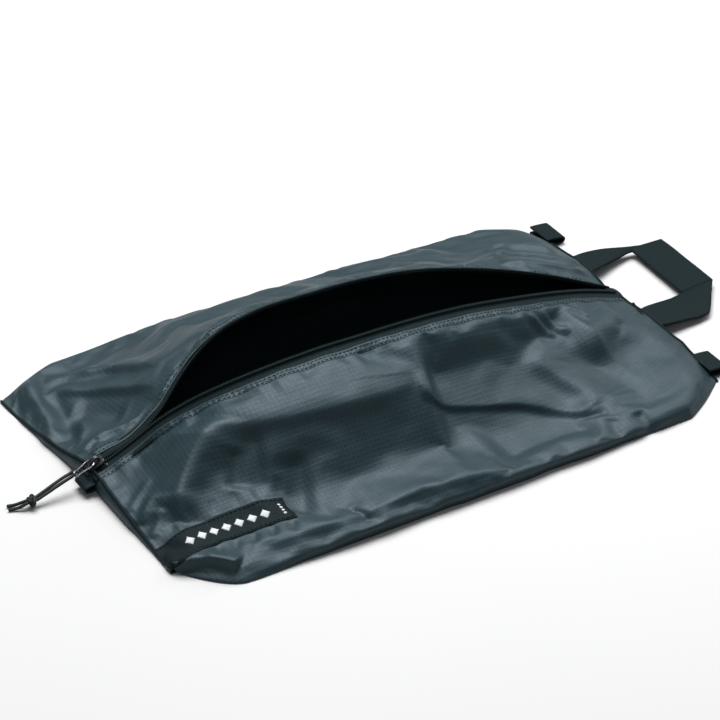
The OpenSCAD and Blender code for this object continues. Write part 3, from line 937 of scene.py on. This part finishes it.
def zip_tape(side):
    """The woven tape, whose edge carries the coil and whose rest goes under the hem."""
    xs = np.linspace(ZIP_LEFT - 3, ZIP_RIGHT + 2, 321)
    offs = [0.3, 0.7, 1.8, 2.8, 4.0, 5.4, 7.0, 8.5, TAPE_W + 0.5]
    lifts = [-0.1, 0.12, 0.15, -0.1, -0.1, -0.05, 0, -0.1, -0.5]
    rows = [chain_point(xs, side, off, lift) for off, lift in zip(offs, lifts)]
    points = np.array(rows)
    uvs = np.stack(np.meshgrid(xs, offs), axis=-1)
    tape = sewn_strip("zip_tape_%s_woven" % SIDE_NAME[side], side, points, uvs, TAPE, 0.55)
    stand_in(tape, "zip_tape_" + SIDE_NAME[side], side)


def zip_coil(side):
    """A coil of round monofilament along the tape's edge, over its core cord."""
    first, last = ZIP_LEFT + 1, ZIP_RIGHT - 2
    xs = np.linspace(first, last, 2400)
    centre = chain_point(xs, side, COIL_OFF, COIL_LIFT)
    turn = 2 * math.pi * run_along(centre) / COIL_PITCH
    out = chain_point(xs, side, COIL_OFF + 1, COIL_LIFT) - centre
    lift = chain_point(xs, side, COIL_OFF, COIL_LIFT + 1) - centre
    helix = centre + out * (COIL_R * np.cos(turn))[:, None] + lift * (0.62 * COIL_R * np.sin(turn))[:, None]
    core = chain_point(np.linspace(first, last, 200), side, COIL_OFF, COIL_LIFT)
    points, faces, uvs = joined([tube_mesh(helix, 0.34, sides=5), tube_mesh(core, 0.55, sides=8)])
    coil = new_object("zip_coil_%s_turns" % SIDE_NAME[side], points, faces, uvs, COIL)
    stand_in(coil, "zip_coil_" + SIDE_NAME[side], side)


def panel_spot(side, x, down):
    """Where the finished cloth is at places along it, given its x and its distance down from the hem."""
    points, along, depth = panels[side]
    x, down = np.atleast_1d(np.asarray(x, float)), np.atleast_1d(np.asarray(down, float))
    u = (x - along[0, 0]) / (along[0, -1] - along[0, 0])
    column = np.clip(u, 0, 1) * (points.shape[1] - 1)
    left = np.minimum(column.astype(int), points.shape[1] - 2)
    share = column - left
    v = np.empty_like(x)
    for i in range(len(x)):
        depths = depth[:, left[i]] * (1 - share[i]) + depth[:, left[i] + 1] * share[i]
        v[i] = np.interp(-down[i], -depths, np.linspace(0, 1, len(depths)))
    normals = grid_normals(points) * -side
    place, normal = sample(points, u, v), sample(normals, u, v)
    return place, normal / np.linalg.norm(normal, axis=1, keepdims=True)


# How far below the hem's edge the two rows of stitches run
STITCH_ROWS = (0.9, HEM - 1.1)


def hem_sway(xs, down):
    """How far the hem and its stitches wander from a straight line."""
    return noise(xs, xs * 0 + down, 33, 9, 30) * 0.15


def hem_spot(side, x, down, lift):
    """A place on the folded hem, which stands on the panel's edge and reaches a little over the tape."""
    place, normal = panel_spot(side, x, np.maximum(down, 0))
    edge = chain_point(x, side, TAPE_SHOWN, 0.5) - chain_point(x, side, TAPE_SHOWN - 1, 0.5)
    return place + edge * np.minimum(down, 0)[:, None] + normal * np.asarray(lift)[..., None], normal


def panel_hem(side):
    """The panel's turned edge, sewn down over the tape, with a pucker between one stitch and the next."""
    xs = np.linspace(ZIP_LEFT - 2, RIGHT_X - 2, 1150)
    downs = np.array([-1.0, -0.8, -0.3, 0.3, 0.9, 1.6, 2.4, 3.2, 3.9, 4.4, 4.9, 5.3, 5.5]) * HEM / 5.5
    rises = np.array([-0.1, 0.2, 0.35, 0.4, 0.22, 0.36, 0.42, 0.4, 0.34, 0.18, 0.3, 0.25, -0.15])
    rows = []
    for down, rise in zip(downs, rises):
        between = np.exp(-((down - HEM / 2) / 1.5) ** 2)
        pucker = np.sin(2 * math.pi * xs / PUCKER + 0.7 * down + noise(xs, xs * 0, 31, 14, 9) * 1.6)
        lift = rise + pucker * between * PUCKER_H * step(xs, -176, -120)
        place, _ = hem_spot(side, xs, np.full(len(xs), down) + hem_sway(xs, down), lift)
        rows.append(place)
    points = np.array(rows)
    uvs = np.stack(np.meshgrid(xs, -downs), axis=-1)
    hem = sewn_strip("%s_panel_hem" % SIDE_NAME[side], side, points, uvs, SHELL, 0.3)
    stand_in(hem, SIDE_NAME[side] + "_panel", side)


def zip_stitching(side):
    """Two rows of lock stitches through the hem."""
    rows = []
    for down in STITCH_ROWS:
        xs = np.arange(ZIP_LEFT - 1, RIGHT_X - 4, 2.7)
        downs = down + hem_sway(xs, down)
        place, normal = hem_spot(side, xs, downs, np.full(len(xs), 0.32))
        ahead, _ = hem_spot(side, xs + 1, downs, np.full(len(xs), 0.42))
        rows.append(stitch_row(place, ahead - place, normal, 1.9, 0.27))
    stitches = new_object("zip_stitching_%s_thread" % SIDE_NAME[side], *joined(rows), THREAD)
    stand_in(stitches, "zip_stitching_" + SIDE_NAME[side], side)


for side in (FRONT, BACK):
    zip_tape(side)
    zip_coil(side)
    panel_hem(side)
    zip_stitching(side)


# ---- The bottom panel, which curls up to the seams at both ends ----
def end_seam(right):
    """The seam at one end of the bag, from the front's cut corner over the zip's end to the back's."""
    column = -1 if right else 0
    front = panels[FRONT][0][:, column]
    back = panels[BACK][0][::-1, column]
    return smooth_path(np.concatenate([front[::4], back[::4]]), 120)


def bottom_panel():
    """The cloth on the table: rows from one end's seam down to the table, along it and up to the other's."""
    left, right = end_seam(False), end_seam(True)
    count = len(left)
    curl = []
    for seam, out in ((left, -1), (right, 1)):
        z = seam[:, 2:3]
        x, y = seam[:, 0:1], seam[:, 1:2]
        reach = 0.5 + 0.2 * z
        inner = [(x + out * (reach * 0.9), y, z * 0.62), (x + out * reach, y, z * 0.3),
                 (x + out * reach * 0.5, y, 0.25 + 0 * z), (x - out * 5, y, 0.2 + 0 * z)]
        curl.append([seam + [0, 0, -0.2]] + [np.concatenate(p, axis=1) for p in inner])
    flat = []
    # How far the panel's long edges stay back under the front and back panels
    hidden = 1.5
    a, b = curl[0][-1], curl[1][-1]
    for t in np.linspace(0, 1, 90)[1:-1]:
        row = a * (1 - t) + b * t
        # The floor edge of the panels bulges past the straight line between the two ends
        u = np.clip((row[:, 0] - LEFT_X[FRONT]) / (RIGHT_X - LEFT_X[FRONT]), 0, 1)
        share = np.linspace(-1, 1, count)
        front_y, back_y = lower_edge(u, FRONT)[:, 1], lower_edge(u, BACK)[:, 1]
        row[:, 1] = np.where(share < 0, -share * (front_y + hidden), share * (back_y - hidden))
        flat.append(row)
    grid = np.array(curl[0] + flat + curl[1][::-1])
    x, y = grid[..., 0], grid[..., 1]
    ripple = noise(x, y, 91, 34, 26) * 0.9 + noise(x, y, 92, 13, 17) * 0.4
    edge = np.minimum(np.arange(count), np.arange(count)[::-1]) / 8
    inside = np.clip(edge, 0, 1)[None, :] * (np.abs(x) < 172)
    grid[..., 2] += np.maximum(ripple + 0.5, 0) * inside
    uvs = grid[..., :2].copy()
    panel = sheet_object("bottom_panel_cloth", grid, uvs, SHELL, -CLOTH)
    stand_in(panel, "bottom_panel", "bag")


def end_binding(right, name):
    """The folded edge where the panels are joined at one end: a narrow flattened tube."""
    seam = end_seam(right) + [0.5 if right else -0.5, 0, 0.05]
    binding = tube_object(name + "_piping", [seam], 0.75, BINDING, sides=8)
    stand_in(binding, name, "bag")


bottom_panel()
end_binding(False, "end_binding_left")
end_binding(True, "end_binding_right")

# ---- The carry handle, corner loops and end tab of webbing ----
# Webbing: its thickness, and the widths of the corner loops and the end tab
WEB_T = 1.5
LOOP_W, TAB_W = 20.0, 13.5
LOOP_Y = {"back": 94.0, "front": -82.0}


def strap_edges(pairs, count):
    """Two smooth edge lines through given pairs of points across a strap."""
    left = smooth_path([p for p, _ in pairs], count)
    right = smooth_path([q for _, q in pairs], count)
    return left, right


def carry_handle():
    """Three stretches of strap, sewn over each other at the handle's two outer corners."""
    back_arm = [
        ((183, 34, 9.4), (184, 55, 9.4)), ((192, 37, 8.2), (193, 57, 8.2)),
        ((203, 41, 6.6), (206, 57.5, 6.6)), ((214, 45, 5), (226, 52, 5.4)),
        ((225, 49.5, 4.0), (248, 48.5, 4.0)),
    ]
    cross = [
        ((224.5, 50, 5.4), (248.5, 49, 5.6)), ((225, 42, 4.6), (249, 42, 5.4)),
        ((224.6, 20, 4.2), (249, 21, 5.0)), ((224, 2, 4.4), (249, 6, 4.8)),
        ((223.5, -8.6, 4.6), (249, -6.2, 4.4)),
    ]
    front_arm = [
        ((223.7, -8.4, 4.5), (249, -6, 4.3)), ((221, -9.6, 4.2), (240, -17.5, 3.8)),
        ((217, -10.2, 4.2), (229, -31.5, 3.6)), ((213, -11, 4.4), (225, -35.6, 3.8)),
        ((208, -11.4, 4.8), (219, -37, 4.2)), ((200, -12.6, 6), (206, -37.6, 5.8)),
        ((191, -15, 7.8), (192, -38.4, 7.8)), ((184, -18, 9.4), (184, -39, 9.4)),
    ]
    stretches = []
    for pairs in (back_arm, cross, front_arm):
        left, right = strap_edges(pairs, 36)
        stretches.append(ribbon_mesh(right, left, WEB_T))
    handle = new_object("carry_handle_webbing", *joined(stretches), WEBBING)
    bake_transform(handle)
    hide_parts("carry_handle")


carry_handle()


def folded_loop(name, node, y, root_x, tip_x, width, top, low, material=WEBBING, skew=0.0):
    """A short loop of webbing, folded over at its tip and sewn into the seam at its root.

    top and low are the heights of its two layers at the root and near the tip.
    """
    out = 1 if tip_x > root_x else -1
    bend = (top[1] - low[1]) / 2
    centre = (tip_x - out * bend, (top[1] + low[1]) / 2)
    route = [(root_x, top[0]), ((root_x + centre[0]) / 2, (top[0] + top[1]) / 2 + 0.2)]
    for a in np.linspace(0, math.pi, 9):
        route.append((centre[0] + out * bend * math.sin(a), centre[1] + bend * math.cos(a)))
    route += [((root_x + centre[0]) / 2, (low[0] + low[1]) / 2 - 0.1), (root_x, low[0])]
    route = smooth_path([(x, 0, z) for x, z in route], 40)
    shift = np.abs(route[:, 0] - root_x)[:, None] * [0, skew, 0]
    left = route + [0, y - out * width / 2, 0] + shift
    right = route + [0, y + out * width / 2, 0] + shift
    loop = new_object(name, *ribbon_mesh(left, right, WEB_T * 0.85), material)
    stand_in(loop, node, "bag")


def zigzag(centre, along, normal, length, width, turns):
    """The path of a dense zigzag seam: a bartack."""
    along = along / np.linalg.norm(along)
    across = np.cross(normal, along)
    across /= np.linalg.norm(across)
    t = np.arange(turns + 1) / turns - 0.5
    swing = np.where(np.arange(turns + 1) % 2 == 0, -0.5, 0.5)
    return centre + along * (t * length)[:, None] + across * (swing * width)[:, None]


def bartacks(name, spots, length):
    """A bartack at each spot, given as its middle, the direction along it and the cloth's normal."""
    paths = [zigzag(*np.array(spot, float), length, 2.0, 34) for spot in spots]
    tacks = tube_object(name + "_thread", paths, 0.28, THREAD, sides=6)
    stand_in(tacks, name, "bag")


def place_on_panel(side, x, y):
    """The finished cloth's point and normal nearest to a place seen from above."""
    points = panels[side][0]
    flat = np.hypot(points[..., 0] - x, points[..., 1] - y)
    row, column = np.unravel_index(np.argmin(flat), flat.shape)
    return points[row, column], (grid_normals(points) * -side)[row, column]


for where, y in LOOP_Y.items():
    node = "corner_loop_" + where
    folded_loop(node + "_webbing", node, y, 184.5, 198, LOOP_W, (6.2, 5.2), (2.2, 1.7))
folded_loop("zip_end_tab_webbing", "zip_end_tab", -3.2, -179, -191.5, TAB_W, (7.4, 6.6), (4.4, 3.6),
            BINDING, -0.05)
bartacks("loop_bartacks", [((188.6, y, 6.3), (0, 1, 0), (0, 0, 1)) for y in LOOP_Y.values()], 16)
tack_spots = []
for side, y in ((BACK, 45.5), (FRONT, -26.0)):
    spot, normal = place_on_panel(side, 178.5, y)
    tack_spots.append((spot + normal * 0.4, (-0.12 * side, 1, -0.1 * side), normal))
bartacks("handle_bartacks", tack_spots, 18)

# ---- The label, its stitching and its woven motif ----
LABEL_X = (-184.5, -104.5)
LABEL_DOWN = (70.5, 90.5)
LABEL_WIDTH = LABEL_DOWN[1] - LABEL_DOWN[0]


def label():
    """The woven label on the finished cloth; returns its grid of points."""
    xs = np.linspace(*LABEL_X, 121)
    rows = []
    steps_across = np.linspace(0, 1, 15)
    for share in steps_across:
        down = LABEL_DOWN[0] + LABEL_WIDTH * share
        place, normal = panel_spot(FRONT, xs + 2 * (0.5 - share) * (xs > -150), np.full(len(xs), down))
        rows.append(place + normal * (0.55 + 0.1 * noise(xs, xs * 0 + down, 71, 7, 6))[:, None])
    points = np.array(rows)
    for _ in range(3):
        points[1:-1, 1:-1] = (points[1:-1, 1:-1] * 2 + points[:-2, 1:-1] + points[2:, 1:-1]
                              + points[1:-1, :-2] + points[1:-1, 2:]) / 6
    uvs = np.stack(np.meshgrid(xs, steps_across * LABEL_WIDTH), axis=-1)
    tag = sewn_strip("label_woven", FRONT, points, uvs, LABEL, 0.5)
    stand_in(tag, "label", FRONT)
    return points


def label_place(points, x, share):
    """Places on the label and the normals there, at x and at a share of the way down across it."""
    u = (np.asarray(x, float) - LABEL_X[0]) / (LABEL_X[1] - LABEL_X[0])
    share = np.broadcast_to(np.asarray(share, float), u.shape)
    normal = sample(grid_normals(points), u, share)
    if normal[0][2] < 0:
        normal = -normal
    return sample(points, u, share), normal / np.linalg.norm(normal, axis=1, keepdims=True)


def label_rows(points):
    """Lock stitches just inside the label's edges."""
    inset = 0.07
    xs = np.arange(LABEL_X[0] + 2, LABEL_X[1] - 1, 2.6)
    shares = np.arange(inset, 1.01 - inset, 0.13)
    rows = []
    for x, share in ((xs, inset + 0 * xs), (xs, 1 - inset + 0 * xs), (LABEL_X[1] - 1.6 + 0 * shares, shares)):
        place, normal = label_place(points, x, share)
        rows.append(stitch_row(place + normal * 0.18, np.gradient(place, axis=0), normal, 1.8, 0.24))
    stitches = new_object("label_stitching_thread", *joined(rows), THREAD)
    stand_in(stitches, "label_stitching", FRONT)


def label_motif(points):
    """A plain row of lozenges in satin stitch, and a short column of dashes by the label's end."""
    lozenges, first_x, pitch, half_size = 7, -165, 7.6, 2.9
    dashes, dash_x, dash_pitch, dash_length = 4, -109.5, 2.9, 1.7
    stitches = []
    for k in range(lozenges):
        for off in np.arange(-2.6, 2.7, 0.52):
            stitches.append((first_x + k * pitch + off, 0.5, (half_size - abs(off)) * 2.6))
    for k in range(dashes):
        for off in (-0.5, 0, 0.5):
            share = 0.5 + (k - (dashes - 1) / 2) * dash_pitch / LABEL_WIDTH
            stitches.append((dash_x + off, share, dash_length))
    rows = []
    for x, share, tall in stitches:
        place, normal = label_place(points, np.array([x]), share)
        ahead, _ = label_place(points, np.array([x, x]), np.array([share - 0.05, share + 0.05]))
        rows.append(stitch_row(place + normal * 0.2, ahead[1:] - ahead[:1], normal, tall, 0.34))
    motif = new_object("label_motif_satin", *joined(rows), MOTIF)
    stand_in(motif, "label", FRONT)


label_grid = label()
label_rows(label_grid)
label_motif(label_grid)

# ---- The ends of the zip, the slider and its pull ----
def tape_bridge(name, node, xs, zs, half, droop):
    """The tapes' ends, folded down and sewn across the end of the bag, drooping to both sides of the zip."""
    ys = np.linspace(-half, half, 25)
    points = np.array([[(x, y, z - droop * (y / half) ** 2 * half) for y in ys] for x, z in zip(xs, zs)])
    if xs[1] > xs[0]:
        points = points[::-1]
    bridge = sheet_object(name, points, points[..., [1, 0]].copy(), TAPE, 0.8)
    stand_in(bridge, node, "bag")


tape_bridge("zip_tape_start_folded", "zip_tape_start",
            (-187.2, -187.0, -185.5, -183, -180.5), (6.2, 8.2, 9.4, 9.9, 10.6), 8.0, 0.16)
tape_bridge("zip_tape_end_folded", "zip_tape_end",
            (181.6, 181.4, 180.2, 178, 174.5), (12.6, 14.4, 15.4, 16.0, 17.6), 8.0, 0.3)

ACROSS = np.array([0, 1.0, 0])


def chain_frame():
    """The slider's middle and its directions along and up from the chain at rest."""
    low, high = [np.array(corner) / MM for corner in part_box("slider_body")]
    middle = (low + high) / 2
    tilt = math.atan2(-middle[0], middle[2] - ARC_Z)
    along = np.array([math.cos(tilt), 0, math.sin(tilt)])
    up = np.array([-math.sin(tilt), 0, math.cos(tilt)])
    return middle, along, up


def slider_body():
    """Two curved plates with rolled edges, joined by a post, and the bridge that holds the pull."""
    middle, along, up = chain_frame()
    middle = middle - up
    outline = smooth_path([(-5, 0), (-4.6, 2.0), (-2.5, 3.0), (0.5, 4.0), (3.6, 4.3), (5, 3.4), (5.2, 0)], 15)
    outline = np.concatenate([outline, (outline * [1, -1])[::-1][1:-1]])
    bm = bmesh.new()

    def slab(low, high, shape):
        rings = []
        for z in (low, high):
            rings.append([bm.verts.new((middle + along * x + ACROSS * y + up * z) * MM) for x, y in shape])
        n = len(shape)
        for i in range(n):
            bm.faces.new((rings[0][i], rings[0][(i + 1) % n], rings[1][(i + 1) % n], rings[1][i]))
        bm.faces.new(rings[0][::-1])
        bm.faces.new(rings[1])

    for sign in (1, -1):
        slab(*sorted((sign * 1.5, sign * 2.6)), outline)
        for edge in (1, -1):
            rail = [(-2.6, edge * 2.2), (4.2, edge * 3.5), (4.2, edge * 4.2), (-2.6, edge * 3.0)]
            slab(*sorted((sign * 0.6, sign * 1.6)), rail if edge > 0 else rail[::-1])
    slab(-1.6, 1.6, [(3.2, -0.5), (4.8, -0.35), (4.8, 0.35), (3.2, 0.5)])
    bmesh.ops.recalc_face_normals(bm, faces=bm.faces)
    mesh = bpy.data.meshes.new("slider_body_cast")
    bm.to_mesh(mesh)
    bm.free()
    body = bpy.data.objects.new("slider_body_cast", mesh)
    bpy.context.collection.objects.link(body)
    mesh.materials.append(SLIDER)
    finish_mesh(body, ("BEVEL", {"width": 0.28 * MM, "segments": 3, "angle_limit": math.radians(40)}))
    body.data.polygons.foreach_set("use_smooth", [True] * len(body.data.polygons))
    stand_in(body, "slider_body", "slider")
    arch = [(-3.4, 2.4), (-3.3, 4.2), (-2.4, 5.3), (0, 5.7), (2.4, 5.3), (3.3, 4.2), (3.4, 2.4)]
    paths = []
    for y in (-0.7, 0, 0.7):
        paths.append(smooth_path([middle + along * x + ACROSS * y + up * z for x, z in arch], 24))
    bridge = tube_object("slider_bridge_cast", paths, 0.62, SLIDER, sides=10, up=(0, 1, 0.01))
    stand_in(bridge, "slider_body", "slider")


def slider_pull():
    """One length of bent wire: a wide eye round the bridge and a narrow end for the cord."""
    reach = END_BAR - PIVOT
    long = np.linalg.norm(reach)
    along = reach / long
    half = [(0, 0), (0.1, 1.6), (0.9, 2.7), (2.6, 3.0), (5.5, 2.5), (9, 2.1)]
    half += [(long - 0.9, 2.1), (long, 1.3), (long, 0)]
    loop = half + [(x, -y) for x, y in half[::-1][1:-1]]
    corners = [PIVOT + along * x + ACROSS * y for x, y in loop]
    path = smooth_path(corners + [corners[0]], 97)[:-1]
    wire = tube_object("slider_pull_wire", [path], 0.6, WIRE, sides=10, closed=True, up=(0.2, 0.1, 1))
    stand_in(wire, "slider_pull", "pull")


slider_body()
slider_pull()
for name in ("bottom_stop", "top_stops"):
    for material_slot in frame["nodes"][name].material_slots:
        material_slot.material = SLIDER
